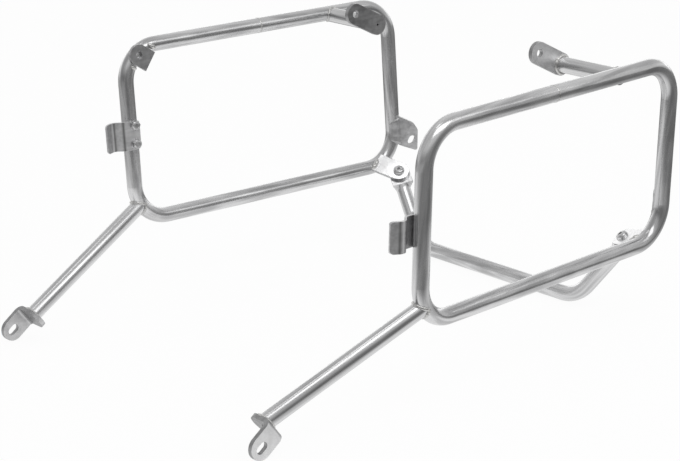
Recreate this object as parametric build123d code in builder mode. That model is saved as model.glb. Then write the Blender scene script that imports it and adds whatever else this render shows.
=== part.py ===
"""Pannier frame for a motorbike: two tube hoops, their mounting arms and tabs, and a cross tube.

Millimetres. X points forward, Y to the left of the bike and Z up from the ground the frame
stands on. The left side is modelled and the right side is its mirror image, but for the heights
of the latch clips and the upper corner tab, which only the right hoop has. Places along X are
given from the middle of the hoops, which lie behind the middle of the whole frame.
"""

import os
from math import cos, radians, sin

from build123d import *

# Tube stock
TUBE_DIAMETER = 18.0
TUBE_WALL = 2.0

# Hoops, measured between tube centre lines; their tops lean out and their fronts toe out
HOOP_LENGTH = 387.0
HOOP_HEIGHT = 206.0
HOOP_BEND = 42.0
HOOP_SPACING = 481.0
HOOP_LEAN = 3.2
HOOP_TOE = 3.3
HOOP_MIDDLE_X = -89.0
HOOP_MIDDLE_Z = 197.0

# Forward arms, from the lower front bend to the folded tabs
ARM_ROOT_ANGLE = 32.0
ARM_END_FORWARD = 364.8
ARM_END_SIDE = 211.1
ARM_END_HEIGHT = 29.8

# Forward arm tabs: a base across the end of the arm and a slotted ear folded forwards
ARM_TAB_THICKNESS = 5.0
ARM_TAB_WIDTH = 26.0
ARM_TAB_PITCH = 36.0
ARM_TAB_INNER_REACH = 17.0
ARM_TAB_EAR_OFFSET = 15.0
ARM_TAB_EAR_REACH = 25.5
ARM_TAB_DROP = 2.2
ARM_TAB_FOLD = 6.0
ARM_SLOT_WIDTH = 9.0
ARM_SLOT_LENGTH = 14.0

# Inward arms: short tubes across the bike from the top rails
INWARD_ARM_BACK = 104.5
INWARD_ARM_DROP = 1.8
INWARD_ARM_END_SIDE = 155.0

# Inward arm plates
INWARD_PLATE_THICKNESS = 5.0
INWARD_PLATE_WIDTH = 25.0
INWARD_PLATE_CENTRES = 39.0
INWARD_PLATE_PITCH = 27.5
INWARD_PLATE_HOLE = 9.0
VENT_HOLE = 3.0

# Upper corner tab, on the inner side of the right hoop's upper front bend
CORNER_TAB_THICKNESS = 4.0
CORNER_TAB_WIDTH = 24.6
CORNER_TAB_FOOT = 17.4
CORNER_TAB_PITCH = 35.0
CORNER_TAB_HOLE = 8.5
CORNER_TAB_HOLE_BACK = 13.5
CORNER_TAB_HOLE_DOWN = 8.0

# Latch clips on the front uprights: a sheet folded into a shallow hook
CLIP_SHEET = 2.5
CLIP_HEIGHT = 34.0
CLIP_BEHIND = 7.0
CLIP_FLAT = 13.5
CLIP_CREST_FORWARD = 23.0
CLIP_CREST_IN = 0.7
CLIP_LIP_FORWARD = 37.0
CLIP_LIP_IN = 9.2
CLIP_FOLD = 4.0
CLIP_CREST_FOLD = 7.0
CLIP_CORNER = 4.0
CLIP_BOLT_SPACING = 22.0
CLIP_BOLT_RAISE = 1.0
LEFT_CLIP_UP = -3.2
RIGHT_CLIP_UP = 2.6

# Latch clip bolts and washers
CLIP_BOLT = 6.0
CLIP_BOLT_CLEARANCE = 0.6
CLIP_BOLT_HEAD = 10.0
CLIP_BOLT_HEAD_HEIGHT = 4.0
CLIP_BOLT_LENGTH = 12.0
CLIP_WASHER = 12.0
CLIP_WASHER_THICKNESS = 1.6

# Rear tabs on the rear uprights, turned inwards from straight back, the slotted half folded away;
# heights are from the hoop's lower rear corner
REAR_TAB_THICKNESS = 4.0
REAR_TAB_TURN = 38.0
REAR_TAB_OFFSET = 5.5
REAR_TAB_TOP = 65.2
REAR_TAB_SHOULDER = (26.5, 51.7)
REAR_TAB_NOSE = (32.3, 41.0)
REAR_TAB_HEEL = (30.5, 13.0)
REAR_TAB_BOTTOM = 27.2
REAR_TAB_ROUND = 8.0
REAR_TAB_HEEL_ROUND = 2.5
REAR_FOLD_PLACE = (15.9, 32.8)
REAR_FOLD_TILT = 28.0
REAR_FOLD_ANGLE = 22.0
REAR_FOLD_ROUND = 6.0
REAR_SLOT_REACH = 8.5
REAR_SLOT_LENGTH = 12.0
REAR_SLOT_WIDTH = 8.5

# Lower corner tabs, which take the cross tube; holes are placed from the hoop's lower rear corner
CROSS_TAB_THICKNESS = 4.0
CROSS_TAB_WIDTH = 26.0
CROSS_TAB_LENGTH = 34.0
CROSS_TAB_FORWARD = 19.8
CROSS_TAB_DOWN = 4.1
CROSS_TAB_IN = 34.6
CROSS_TAB_FACING = (0.46, -0.38, 0.80)
CROSS_TAB_REACH = (-0.365, -0.879, -0.305)

# Cross tube: its middle run lies on the ground, and its flattened ends sit under the tabs
CROSS_BEND = 45.0
CROSS_CORNER_FORWARD = 14.1
CROSS_CORNER_IN = 57.2
CROSS_LEG_FORWARD = 0.15
CROSS_LEG_IN = 4.9
CROSS_LEG_DOWN = 15.0
CROSS_ROUND_SHORT = 8.0
CROSS_FLAT_THICKNESS = 4.0
CROSS_FLAT_WIDTH = 26.0
CROSS_FLAT_ROOT = 18.0

# Cross tube screws and nuts
SCREW = 8.0
SCREW_CLEARANCE = 0.5
SCREW_HEAD = 14.0
SCREW_HEAD_HEIGHT = 4.4
SCREW_HEAD_ROUND = 3.6
SCREW_SOCKET = 5.0
SCREW_SOCKET_DEPTH = 2.6
SCREW_TAIL = 2.0
NUT_FLATS = 13.0
NUT_HEIGHT = 6.5

TUBE_RADIUS = TUBE_DIAMETER / 2
BORE_RADIUS = TUBE_RADIUS - TUBE_WALL
CLEAR_THROUGH = 60.0


def left_hoop_plane() -> Plane:
    """Return the left hoop's plane: x forward, y up and z inwards from the hoop's middle."""
    toe = radians(HOOP_TOE)
    lean = radians(HOOP_LEAN)
    return Plane(
        origin=(HOOP_MIDDLE_X, HOOP_SPACING / 2, HOOP_MIDDLE_Z),
        x_dir=(cos(toe), sin(toe), 0),
        z_dir=(sin(toe) * cos(lean), -cos(toe) * cos(lean), sin(lean)),
    )


HOOP = left_hoop_plane()


def on_hoop(forward: float, up: float, inward: float = 0.0) -> Vector:
    """Return the place of a point that is given in the left hoop's plane."""
    return HOOP.from_local_coords(Vector(forward, up, inward))


def beside_hoop(forward: float, up: float, inward: float = 0.0) -> Plane:
    """Return a plane parallel to the left hoop, with its origin at a point of the hoop's plane."""
    return Plane(origin=on_hoop(forward, up, inward), x_dir=HOOP.x_dir, z_dir=HOOP.z_dir)


def ring_of_tube(radius: float) -> Part:
    """Return a solid ring of round section that follows the hoop's centre line."""
    half_length = HOOP_LENGTH / 2
    half_height = HOOP_HEIGHT / 2
    corners = [
        (half_length, half_height),
        (half_length, -half_height),
        (-half_length, -half_height),
        (-half_length, half_height),
    ]
    with BuildPart() as ring:
        with BuildLine(HOOP) as path:
            FilletPolyline(*corners, radius=HOOP_BEND, close=True)
        with BuildSketch(Plane(origin=path.line @ 0, z_dir=path.line % 0)):
            Circle(radius)
        sweep(path=path.line)
    return ring.part


def straight_tube(start: Vector, end: Vector) -> Part:
    """Return an open tube between two points."""
    run = end - start
    with BuildPart() as tube:
        with BuildSketch(Plane(origin=start, z_dir=run)):
            Circle(TUBE_RADIUS)
            Circle(BORE_RADIUS, mode=Mode.SUBTRACT)
        extrude(amount=run.length)
    return tube.part


# Hoop: the ring, less its bore and the tapped holes of the latch clip
hoop_core = ring_of_tube(TUBE_RADIUS)
hoop_bore = ring_of_tube(BORE_RADIUS)
clip_bolt_places = [
    (0, CLIP_BOLT_RAISE + CLIP_BOLT_SPACING / 2),
    (0, CLIP_BOLT_RAISE - CLIP_BOLT_SPACING / 2),
]


def clip_face(clip_up: float) -> Plane:
    """Return the plane on the inner side of the front upright that a latch clip lies on."""
    return beside_hoop(HOOP_LENGTH / 2, clip_up, TUBE_RADIUS)


def hoop_tube(clip_up: float) -> Part:
    """Return the hollow hoop, tapped for a latch clip at a height above the hoop's middle."""
    with BuildPart() as hoop:
        add(hoop_core)
        add(hoop_bore, mode=Mode.SUBTRACT)
        with BuildSketch(clip_face(clip_up)):
            with Locations(*clip_bolt_places):
                Circle(CLIP_BOLT / 2)
        extrude(amount=-TUBE_RADIUS, mode=Mode.SUBTRACT)
    return hoop.part


with BuildPart() as hoop_left:
    add(hoop_tube(LEFT_CLIP_UP))

with BuildPart() as hoop_right:
    mirror(hoop_tube(RIGHT_CLIP_UP), about=Plane.XZ)

# Forward arm: coped onto the lower front bend, and cut to lie flat on its tab
root_angle = radians(ARM_ROOT_ANGLE)
arm_root = on_hoop(
    HOOP_LENGTH / 2 - HOOP_BEND * (1 - cos(root_angle)),
    -HOOP_HEIGHT / 2 + HOOP_BEND * (1 - sin(root_angle)),
)
arm_end = Vector(HOOP_MIDDLE_X + ARM_END_FORWARD, ARM_END_SIDE, ARM_END_HEIGHT)
ear_pitch = radians(ARM_TAB_PITCH)
ear_along = Vector(cos(ear_pitch), 0, -sin(ear_pitch))
ear_across = Vector(sin(ear_pitch), 0, cos(ear_pitch))
arm_run = arm_end - arm_root

with BuildPart() as forward_arm_left:
    add(straight_tube(arm_root, arm_end + arm_run.normalized() * TUBE_DIAMETER))
    add(hoop_core, mode=Mode.SUBTRACT)
    split(bisect_by=Plane(origin=arm_end, z_dir=ear_along), keep=Keep.BOTTOM)

# Forward arm tab: seen along its fold, then trimmed round at both ends
tab_middle = arm_end - ear_across * ARM_TAB_DROP
tab_profile = Plane(origin=tab_middle, x_dir=ear_along, z_dir=ear_across)
tab_side = Plane(origin=tab_middle, x_dir=ear_along, z_dir=(0, -1, 0))
tab_base = Plane(origin=tab_middle, x_dir=(0, 1, 0), z_dir=ear_along)
tab_round = ARM_TAB_WIDTH / 2

with BuildPart() as forward_tab_left:
    with BuildSketch(tab_profile):
        with BuildLine():
            FilletPolyline(
                (ARM_TAB_THICKNESS / 2, -ARM_TAB_INNER_REACH),
                (ARM_TAB_THICKNESS / 2, ARM_TAB_EAR_OFFSET),
                (ARM_TAB_EAR_REACH + tab_round, ARM_TAB_EAR_OFFSET),
                radius=ARM_TAB_FOLD,
            )
        trace(line_width=ARM_TAB_THICKNESS)
    extrude(amount=tab_round, both=True)
    with BuildSketch(tab_side):
        Rectangle(ARM_TAB_EAR_REACH, ARM_TAB_WIDTH, align=(Align.MIN, Align.CENTER))
        with Locations((ARM_TAB_EAR_REACH, 0)):
            Circle(tab_round)
    extrude(amount=CLEAR_THROUGH, both=True, mode=Mode.INTERSECT)
    with BuildSketch(tab_base):
        with Locations((tab_round - ARM_TAB_INNER_REACH, 0)):
            Rectangle(CLEAR_THROUGH, ARM_TAB_WIDTH, align=(Align.MIN, Align.CENTER))
            Circle(tab_round)
    extrude(amount=CLEAR_THROUGH, both=True, mode=Mode.INTERSECT)
    with BuildSketch(tab_side):
        with Locations((ARM_TAB_EAR_REACH, 0)):
            SlotOverall(ARM_SLOT_LENGTH, ARM_SLOT_WIDTH)
    extrude(amount=-CLEAR_THROUGH, mode=Mode.SUBTRACT)
    with BuildSketch(tab_base):
        with Locations((0, ARM_TAB_DROP)):
            Circle(VENT_HOLE / 2)
    extrude(amount=ARM_TAB_THICKNESS, mode=Mode.SUBTRACT)

# Inward arm: straight across the bike, coped onto the top rail
inward_rail = on_hoop(-INWARD_ARM_BACK, HOOP_HEIGHT / 2)
inward_root = Vector(inward_rail.X, inward_rail.Y, inward_rail.Z - INWARD_ARM_DROP)
inward_end = Vector(inward_root.X, INWARD_ARM_END_SIDE, inward_root.Z)

with BuildPart() as inward_arm_left:
    add(straight_tube(inward_root, inward_end))
    add(hoop_core, mode=Mode.SUBTRACT)

# Inward arm plate: round about the arm and round about its bolt hole
plate_face = Plane(origin=inward_end, x_dir=(1, 0, 0), z_dir=(0, -1, 0))
plate_pitch = radians(INWARD_PLATE_PITCH)
plate_hole = (INWARD_PLATE_CENTRES * cos(plate_pitch), INWARD_PLATE_CENTRES * sin(plate_pitch))

with BuildPart() as inward_plate_left:
    with BuildSketch(plate_face):
        with Locations((plate_hole[0] / 2, plate_hole[1] / 2)):
            SlotCenterToCenter(INWARD_PLATE_CENTRES, INWARD_PLATE_WIDTH, rotation=INWARD_PLATE_PITCH)
        Circle(VENT_HOLE / 2, mode=Mode.SUBTRACT)
        with Locations(plate_hole):
            Circle(INWARD_PLATE_HOLE / 2, mode=Mode.SUBTRACT)
    extrude(amount=INWARD_PLATE_THICKNESS)

# Upper corner tab: round about its hole, square at its foot, laid out on the left and mirrored
corner_face = beside_hoop(
    HOOP_LENGTH / 2 - CORNER_TAB_HOLE_BACK,
    HOOP_HEIGHT / 2 - CORNER_TAB_HOLE_DOWN,
    TUBE_RADIUS,
)

with BuildPart() as corner_tab_layout:
    with BuildSketch(corner_face):
        Rectangle(
            CORNER_TAB_FOOT,
            CORNER_TAB_WIDTH,
            rotation=CORNER_TAB_PITCH,
            align=(Align.MAX, Align.CENTER),
        )
        Circle(CORNER_TAB_WIDTH / 2)
        Circle(CORNER_TAB_HOLE / 2, mode=Mode.SUBTRACT)
    extrude(amount=CORNER_TAB_THICKNESS)

# Latch clip: seen from above, x forward and y outwards from the upright's axis
clip_sheet_in = TUBE_RADIUS + CLIP_SHEET / 2


def latch_clip(clip_up: float) -> Part:
    """Return a latch clip at a height above the left hoop's middle."""
    profile = Plane(origin=on_hoop(HOOP_LENGTH / 2, clip_up), x_dir=HOOP.x_dir, z_dir=HOOP.y_dir)
    with BuildPart() as clip:
        with BuildSketch(profile):
            with BuildLine():
                FilletPolyline(
                    (-CLIP_BEHIND, -clip_sheet_in),
                    (CLIP_FLAT, -clip_sheet_in),
                    (CLIP_CREST_FORWARD, -CLIP_CREST_IN),
                    (CLIP_LIP_FORWARD, -CLIP_LIP_IN),
                    radius=(CLIP_FOLD, CLIP_CREST_FOLD),
                )
            trace(line_width=CLIP_SHEET)
        extrude(amount=CLIP_HEIGHT / 2, both=True)
        with BuildSketch(clip_face(clip_up)):
            with Locations(((CLIP_LIP_FORWARD - CLIP_BEHIND) / 2, 0)):
                RectangleRounded(CLIP_LIP_FORWARD + CLIP_BEHIND, CLIP_HEIGHT, CLIP_CORNER)
        extrude(amount=CLEAR_THROUGH, both=True, mode=Mode.INTERSECT)
        with BuildSketch(clip_face(clip_up)):
            with Locations(*clip_bolt_places):
                Circle((CLIP_BOLT + CLIP_BOLT_CLEARANCE) / 2)
        extrude(amount=CLIP_SHEET, mode=Mode.SUBTRACT)
    return clip.part


def clip_washer_pair(clip_up: float) -> Part:
    """Return the two washers of a latch clip, on the inner side of its sheet."""
    with BuildPart() as washers:
        with BuildSketch(clip_face(clip_up).offset(CLIP_SHEET)):
            with Locations(*clip_bolt_places):
                Circle(CLIP_WASHER / 2)
                Circle((CLIP_BOLT + CLIP_BOLT_CLEARANCE) / 2, mode=Mode.SUBTRACT)
        extrude(amount=CLIP_WASHER_THICKNESS)
    return washers.part


def clip_bolt_pair(clip_up: float) -> Part:
    """Return the two bolts of a latch clip, their heads on the washers."""
    under_head = clip_face(clip_up).offset(CLIP_SHEET + CLIP_WASHER_THICKNESS)
    with BuildPart() as bolts:
        with BuildSketch(under_head):
            with Locations(*clip_bolt_places):
                RegularPolygon(CLIP_BOLT_HEAD / 2, 6, major_radius=False)
        extrude(amount=CLIP_BOLT_HEAD_HEIGHT)
        with BuildSketch(under_head):
            with Locations(*clip_bolt_places):
                Circle(CLIP_BOLT / 2)
        extrude(amount=-CLIP_BOLT_LENGTH)
    return bolts.part


with BuildPart() as latch_clip_left:
    add(latch_clip(LEFT_CLIP_UP))

with BuildPart() as latch_clip_right:
    mirror(latch_clip(RIGHT_CLIP_UP), about=Plane.XZ)

with BuildPart() as clip_washers:
    add(clip_washer_pair(LEFT_CLIP_UP))
    mirror(clip_washer_pair(RIGHT_CLIP_UP), about=Plane.XZ)

with BuildPart() as clip_bolts:
    add(clip_bolt_pair(LEFT_CLIP_UP))
    mirror(clip_bolt_pair(RIGHT_CLIP_UP), about=Plane.XZ)

# Rear tab: an upright plate that leaves the rear upright backwards and inwards, then folds away
turn = radians(REAR_TAB_TURN)
rear_out = HOOP.z_dir * sin(turn) - HOOP.x_dir * cos(turn)
rear_facing = HOOP.x_dir * sin(turn) + HOOP.z_dir * cos(turn)
rear_face = Plane(
    origin=on_hoop(-HOOP_LENGTH / 2, -HOOP_HEIGHT / 2) + rear_facing * REAR_TAB_OFFSET,
    x_dir=rear_out,
    z_dir=-rear_facing,
)
tilt = radians(REAR_FOLD_TILT)
fold_angle = radians(REAR_FOLD_ANGLE)
fold_place = rear_face.from_local_coords(Vector(*REAR_FOLD_PLACE))
fold_along = rear_out * sin(tilt) + HOOP.y_dir * cos(tilt)
fold_across = rear_out * cos(tilt) - HOOP.y_dir * sin(tilt)
flap_out = fold_across * cos(fold_angle) - rear_facing * sin(fold_angle)
fold_end = Plane(origin=fold_place, x_dir=fold_across, z_dir=fold_along)
slot_place = fold_place + flap_out * REAR_SLOT_REACH
slot_face = Plane(origin=slot_place, x_dir=fold_along, z_dir=flap_out.cross(fold_along))

with BuildPart() as rear_tab_left:
    with BuildSketch(fold_end):
        with BuildLine():
            FilletPolyline(
                (-CLEAR_THROUGH, 0),
                (0, 0),
                (CLEAR_THROUGH * cos(fold_angle), -CLEAR_THROUGH * sin(fold_angle)),
                radius=REAR_FOLD_ROUND,
            )
        trace(line_width=REAR_TAB_THICKNESS)
    extrude(amount=CLEAR_THROUGH, both=True)
    with BuildSketch(rear_face):
        with BuildLine():
            FilletPolyline(
                (0, REAR_TAB_TOP),
                REAR_TAB_SHOULDER,
                REAR_TAB_NOSE,
                REAR_TAB_HEEL,
                (0, REAR_TAB_BOTTOM),
                radius=(0, REAR_TAB_ROUND, REAR_TAB_ROUND, REAR_TAB_HEEL_ROUND, 0),
                close=True,
            )
        make_face()
    extrude(amount=CLEAR_THROUGH, both=True, mode=Mode.INTERSECT)
    with BuildSketch(slot_face):
        SlotOverall(REAR_SLOT_LENGTH, REAR_SLOT_WIDTH)
    extrude(amount=REAR_TAB_THICKNESS, both=True, mode=Mode.SUBTRACT)
    add(hoop_core, mode=Mode.SUBTRACT)

# Lower corner tab: round about its bolt hole, its root inside the weld at the lower rear bend
cross_hole = on_hoop(
    -HOOP_LENGTH / 2 + CROSS_TAB_FORWARD,
    -HOOP_HEIGHT / 2 - CROSS_TAB_DOWN,
    CROSS_TAB_IN,
)
cross_tab_face = Plane(origin=cross_hole, x_dir=CROSS_TAB_REACH, z_dir=CROSS_TAB_FACING)
cross_bolt_hole = SCREW + SCREW_CLEARANCE

with BuildPart() as cross_tab_left:
    with BuildSketch(cross_tab_face):
        Rectangle(CROSS_TAB_LENGTH, CROSS_TAB_WIDTH, align=(Align.MAX, Align.CENTER))
        Circle(CROSS_TAB_WIDTH / 2)
        Circle(cross_bolt_hole / 2, mode=Mode.SUBTRACT)
    extrude(amount=CROSS_TAB_THICKNESS / 2, both=True)
    add(hoop_core, mode=Mode.SUBTRACT)

# Cross tube: the left half's points, the flat under the tab and the round leg below it
flat_face = cross_tab_face.offset(-(CROSS_TAB_THICKNESS + CROSS_FLAT_THICKNESS) / 2)
cross_corner = Vector(cross_hole.X + CROSS_CORNER_FORWARD, cross_hole.Y - CROSS_CORNER_IN, TUBE_RADIUS)
cross_leg = cross_hole + Vector(CROSS_LEG_FORWARD, -CROSS_LEG_IN, -CROSS_LEG_DOWN)
leg_up = (cross_leg - cross_corner).normalized()
leg_end = cross_leg - leg_up * CROSS_ROUND_SHORT
flat_up = (leg_up - flat_face.z_dir * leg_up.dot(flat_face.z_dir)).normalized()
flat_along = Plane(origin=flat_face.origin, x_dir=flat_up, z_dir=flat_face.z_dir)
flat_root = Plane(origin=flat_face.origin - flat_up * CROSS_FLAT_ROOT, x_dir=flat_along.y_dir, z_dir=flat_up)

with BuildPart() as cross_end_left:
    with BuildSketch(Plane(origin=leg_end, x_dir=flat_along.y_dir, z_dir=leg_up)):
        Circle(TUBE_RADIUS)
    with BuildSketch(flat_root):
        SlotOverall(CROSS_FLAT_WIDTH, CROSS_FLAT_THICKNESS)
    loft()
    with BuildSketch(flat_along):
        Rectangle(CROSS_FLAT_ROOT, CROSS_FLAT_WIDTH, align=(Align.MAX, Align.CENTER))
        Circle(CROSS_FLAT_WIDTH / 2)
    extrude(amount=CROSS_FLAT_THICKNESS / 2, both=True)
    with BuildSketch(flat_along):
        Circle(cross_bolt_hole / 2)
    extrude(amount=CROSS_TAB_WIDTH, both=True, mode=Mode.SUBTRACT)

with BuildPart() as cross_tube:
    with BuildLine() as cross_path:
        FilletPolyline(
            leg_end,
            cross_corner,
            Vector(cross_corner.X, -cross_corner.Y, cross_corner.Z),
            Vector(leg_end.X, -leg_end.Y, leg_end.Z),
            radius=CROSS_BEND,
        )
    with BuildSketch(Plane(origin=cross_path.line @ 0, z_dir=cross_path.line % 0)):
        Circle(TUBE_RADIUS)
        Circle(BORE_RADIUS, mode=Mode.SUBTRACT)
    sweep(path=cross_path.line)
    add(cross_end_left.part)
    mirror(cross_end_left.part, about=Plane.XZ)

# Cross tube screw and nut: the head on the tab, the nut under the flattened tube
screw_face = cross_tab_face.offset(CROSS_TAB_THICKNESS / 2)
nut_face = flat_face.offset(-CROSS_FLAT_THICKNESS / 2)
screw_length = CROSS_TAB_THICKNESS + CROSS_FLAT_THICKNESS + NUT_HEIGHT + SCREW_TAIL

with BuildPart() as cross_screw_left:
    with BuildSketch(screw_face):
        Circle(SCREW_HEAD / 2)
    extrude(amount=SCREW_HEAD_HEIGHT)
    crown = cross_screw_left.edges().sort_by(Axis(screw_face.origin, screw_face.z_dir))[-1]
    fillet(crown, SCREW_HEAD_ROUND)
    with BuildSketch(screw_face):
        Circle(SCREW / 2)
    extrude(amount=-screw_length)
    with BuildSketch(screw_face.offset(SCREW_HEAD_HEIGHT)):
        RegularPolygon(SCREW_SOCKET / 2, 6, major_radius=False)
    extrude(amount=-SCREW_SOCKET_DEPTH, mode=Mode.SUBTRACT)

with BuildPart() as cross_nut_left:
    with BuildSketch(nut_face):
        RegularPolygon(NUT_FLATS / 2, 6, major_radius=False)
        Circle(SCREW / 2, mode=Mode.SUBTRACT)
    extrude(amount=-NUT_HEIGHT)

# Right side: the mirror image of the left
with BuildPart() as forward_arm_right:
    mirror(forward_arm_left.part, about=Plane.XZ)

with BuildPart() as forward_tab_right:
    mirror(forward_tab_left.part, about=Plane.XZ)

with BuildPart() as inward_arm_right:
    mirror(inward_arm_left.part, about=Plane.XZ)

with BuildPart() as inward_plate_right:
    mirror(inward_plate_left.part, about=Plane.XZ)

with BuildPart() as corner_tab_right:
    mirror(corner_tab_layout.part, about=Plane.XZ)

with BuildPart() as rear_tab_right:
    mirror(rear_tab_left.part, about=Plane.XZ)

with BuildPart() as cross_tab_right:
    mirror(cross_tab_left.part, about=Plane.XZ)

# Fasteners of one kind, left and right together
with BuildPart() as cross_screws:
    add(cross_screw_left.part)
    mirror(cross_screw_left.part, about=Plane.XZ)

with BuildPart() as cross_nuts:
    add(cross_nut_left.part)
    mirror(cross_nut_left.part, about=Plane.XZ)

PIECES = {
    "hoop_left": hoop_left,
    "hoop_right": hoop_right,
    "forward_arm_left": forward_arm_left,
    "forward_arm_right": forward_arm_right,
    "forward_tab_left": forward_tab_left,
    "forward_tab_right": forward_tab_right,
    "inward_arm_left": inward_arm_left,
    "inward_arm_right": inward_arm_right,
    "inward_plate_left": inward_plate_left,
    "inward_plate_right": inward_plate_right,
    "corner_tab_right": corner_tab_right,
    "latch_clip_left": latch_clip_left,
    "latch_clip_right": latch_clip_right,
    "clip_bolts": clip_bolts,
    "clip_washers": clip_washers,
    "rear_tab_left": rear_tab_left,
    "rear_tab_right": rear_tab_right,
    "cross_tab_left": cross_tab_left,
    "cross_tab_right": cross_tab_right,
    "cross_tube": cross_tube,
    "cross_screws": cross_screws,
    "cross_nuts": cross_nuts,
}

os.makedirs("parts", exist_ok=True)
for name, piece in PIECES.items():
    piece.part.label = name
    export_step(piece.part, f"parts/{name}.step")
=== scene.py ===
"""Dresses the pannier frame: steel finishes, weld beads, bolts, a plain studio and the camera.

Every length is in metres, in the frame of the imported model: X forward, Y left and Z up.
"""

import logging
import math
import random
from dataclasses import dataclass, field, replace
from enum import Enum
from typing import Callable, Iterable

import bpy
from mathutils import Matrix, Vector


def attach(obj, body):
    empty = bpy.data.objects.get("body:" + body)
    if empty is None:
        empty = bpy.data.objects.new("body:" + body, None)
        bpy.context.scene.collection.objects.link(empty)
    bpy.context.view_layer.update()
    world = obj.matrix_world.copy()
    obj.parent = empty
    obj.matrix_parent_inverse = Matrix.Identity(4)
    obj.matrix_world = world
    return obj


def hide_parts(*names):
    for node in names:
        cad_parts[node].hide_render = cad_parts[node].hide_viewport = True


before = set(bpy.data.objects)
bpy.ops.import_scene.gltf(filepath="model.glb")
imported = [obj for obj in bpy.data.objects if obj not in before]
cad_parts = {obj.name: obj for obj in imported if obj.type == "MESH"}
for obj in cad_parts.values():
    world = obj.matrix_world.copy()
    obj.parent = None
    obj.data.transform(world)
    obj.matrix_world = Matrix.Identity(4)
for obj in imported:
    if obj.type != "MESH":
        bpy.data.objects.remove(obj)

LOG = logging.getLogger("pannier_frame")
VECTOR = "NodeSocketVector"
VALUE = "NodeSocketFloat"
LINE_DRIFT = 0.11  # How far polishing lines wander across a bent tube, as a share of the way along it.
NEARLY_ZERO = 1e-6  # Keeps an angle defined where both of its sides are zero.
Socket = bpy.types.NodeSocket
Value = float | Socket
Pair = tuple[float, float]
Triple = tuple[float, float, float]
Fold = tuple[Vector, Vector, Vector, float]
Faces = list[tuple[int, ...]]


class Side(Enum):
    """The two sides of the bike, as the sign of Y."""

    LEFT = 1
    RIGHT = -1

    @property
    def word(self) -> str:
        """Return the side's name as the nodes use it."""
        return self.name.lower()


class Slot(Enum):
    """The record's material slots, one named for each new piece; the pieces are not given them."""

    TUBE = "tube"
    PLATE = "plate"
    FASTENER = "fastener"


class Bead(Enum):
    """Kinds of weld bead, each with its radius, ripple pitch and unevenness."""

    SEAM = (0.0014, 0.0030, 0.03)
    ROOT = (0.0015, 0.0022, 0.08)
    COPE = (0.0020, 0.0028, 0.06)
    RING = (0.0027, 0.0044, 0.18)
    TACK = (0.0026, 0.0036, 0.18)
    LUMPY = (0.0034, 0.0048, 0.22)

    @property
    def radius(self) -> float:
        """Return the bead's radius."""
        return self.value[0]

    @property
    def pitch(self) -> float:
        """Return the length of one ripple."""
        return self.value[1]

    @property
    def unevenness(self) -> float:
        """Return how far a ripple's radius may stray, as a share of the radius."""
        return self.value[2]


def mirrored(point: Vector, side: Side) -> Vector:
    """Return a point of the left side, carried over to the given side."""
    return Vector((point.x, point.y * side.value, point.z))


def circle(first: Vector, second: Vector, steps: int) -> list[Vector]:
    """Return directions spaced evenly round the circle that two directions span."""
    turns = [2 * math.pi * step / steps for step in range(steps)]
    return [first * math.cos(turn) + second * math.sin(turn) for turn in turns]


def tube_faces(rings: int, around: int, closed: bool = False) -> Faces:
    """Return the faces of a tube.

    Args:
        rings: How many rings of points it has.
        around: How many points each ring has.
        closed: Whether the last ring joins the first; otherwise both ends are capped.

    Returns:
        The faces, by point number.
    """
    faces: Faces = []
    for ring in range(rings if closed else rings - 1):
        start, stop = ring * around, (ring + 1) % rings * around
        for step in range(around):
            after = (step + 1) % around
            faces.append((start + step, start + after, stop + after, stop + step))
    if not closed:
        faces.append(tuple(reversed(range(around))))
        faces.append(tuple(range((rings - 1) * around, rings * around)))
    return faces


def stand(name: str, data: bpy.types.ID) -> bpy.types.Object:
    """Return a new object of the scene that holds the given data."""
    thing = bpy.data.objects.new(name, data)
    bpy.context.scene.collection.objects.link(thing)
    return thing


def posed(place: Vector, *axes: Vector) -> Matrix:
    """Return the matrix that puts an object at a place, with its axes in three directions."""
    return Matrix.Translation(place) @ Matrix(axes).transposed().to_4x4()


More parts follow.
